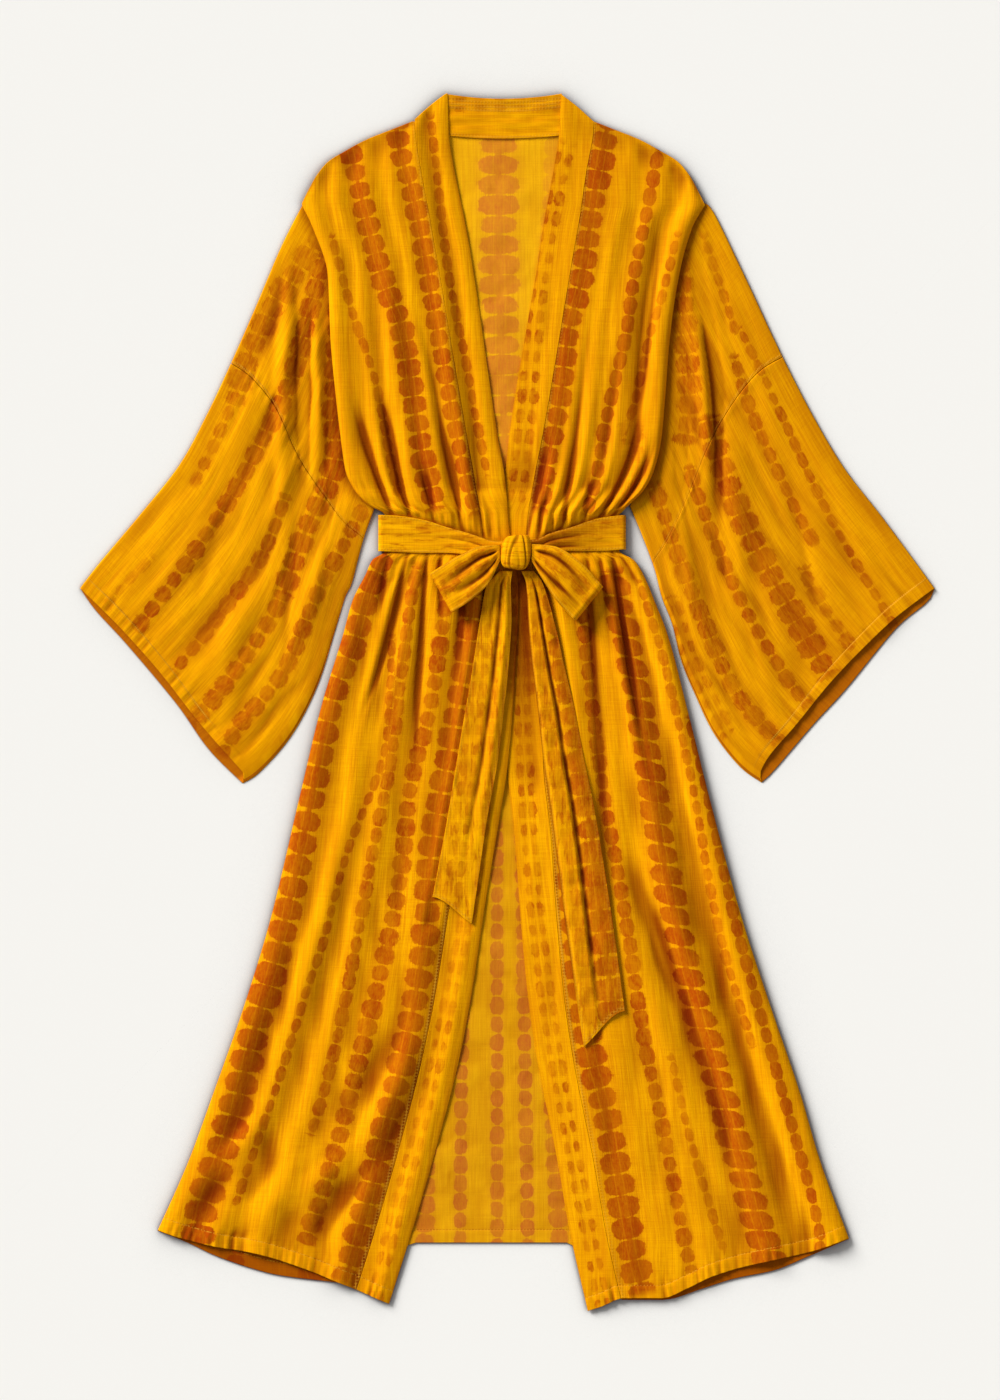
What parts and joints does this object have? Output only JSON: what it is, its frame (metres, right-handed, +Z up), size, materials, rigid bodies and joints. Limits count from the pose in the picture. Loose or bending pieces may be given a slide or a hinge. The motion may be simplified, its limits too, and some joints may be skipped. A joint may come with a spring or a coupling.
{
  "type": "kimono cover-up laid flat",
  "caption": "Long open kimono robe with wide sleeves, laid out flat on its back with its belt tied in a bow",
  "frame": {"origin": "under the middle of the laid-out garment's box, on the surface that it lies on", "axes": "+Y from the hem towards the neck, +X towards the viewer's right of the front, +Z up from the surface"},
  "size_m": [0.897, 1.2776, 0.0272],
  "materials": {
    "cloth": "light woven saffron yellow cloth with rust-brown tie-dye rows",
    "belt_cloth": "the same cloth, with a fainter print"
  },
  "bodies": {
    "root": {"back_panel": "cloth", "front_left": "cloth", "front_right": "cloth", "band_left": "cloth", "band_right": "cloth", "band_neck": "cloth", "sleeve_upper_left": "cloth", "sleeve_upper_right": "cloth", "sleeve_lower_left": "cloth", "sleeve_lower_right": "cloth", "belt_left": "belt_cloth", "belt_right": "belt_cloth", "bow_knot": "belt_cloth", "bow_loop_left": "belt_cloth", "bow_loop_right": "belt_cloth", "belt_tail_left": "belt_cloth", "belt_tail_right": "belt_cloth"}
  },
  "joints": []
}
